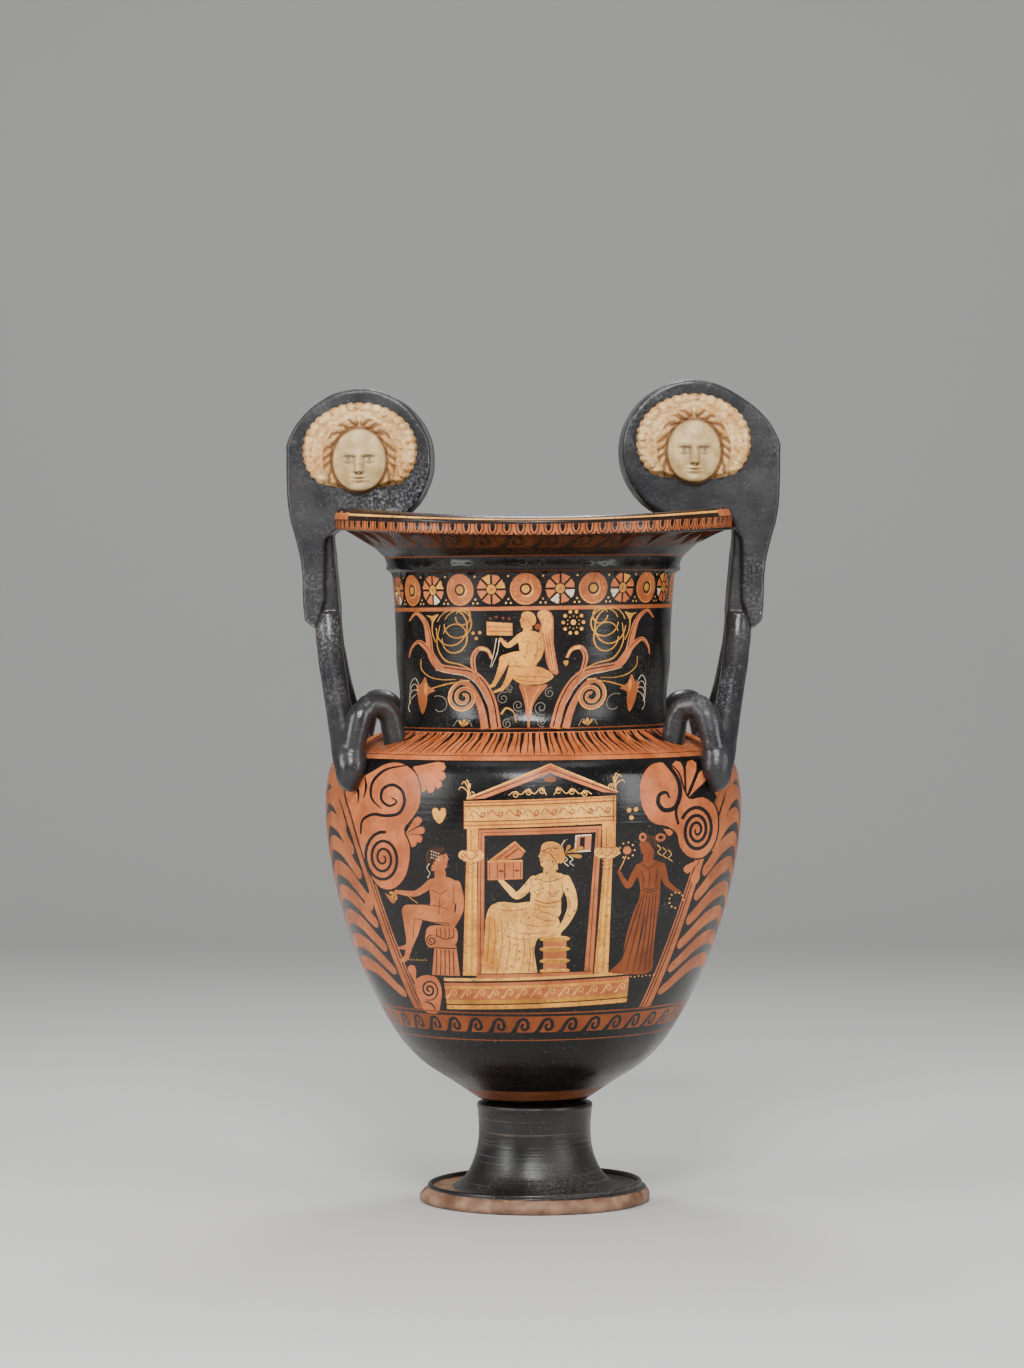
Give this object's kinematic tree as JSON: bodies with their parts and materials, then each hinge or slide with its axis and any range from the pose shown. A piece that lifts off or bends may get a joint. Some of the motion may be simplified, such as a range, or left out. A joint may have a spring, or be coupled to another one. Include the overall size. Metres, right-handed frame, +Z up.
{
  "type": "volute krater",
  "caption": "Tall ancient clay mixing bowl with a waisted neck, a wide mouth, two volute handles that carry relief masks, and a separate hollow foot.",
  "frame": {"origin": "on the vessel's axis, on the surface that the foot stands on", "axes": "+Z up along the vessel's axis, -Y towards the painted front, the handles at +X and -X"},
  "size_m": [0.4198, 0.3546, 0.6998],
  "materials": {
    "glazed_clay": "black slip with a soft sheen, orange red-figure painting and worn patches",
    "worn_glazed_clay": "black slip, worn and speckled, with a reserved brown edge"
  },
  "bodies": {
    "root": {"vessel": "glazed_clay", "foot": "worn_glazed_clay"}
  },
  "joints": []
}
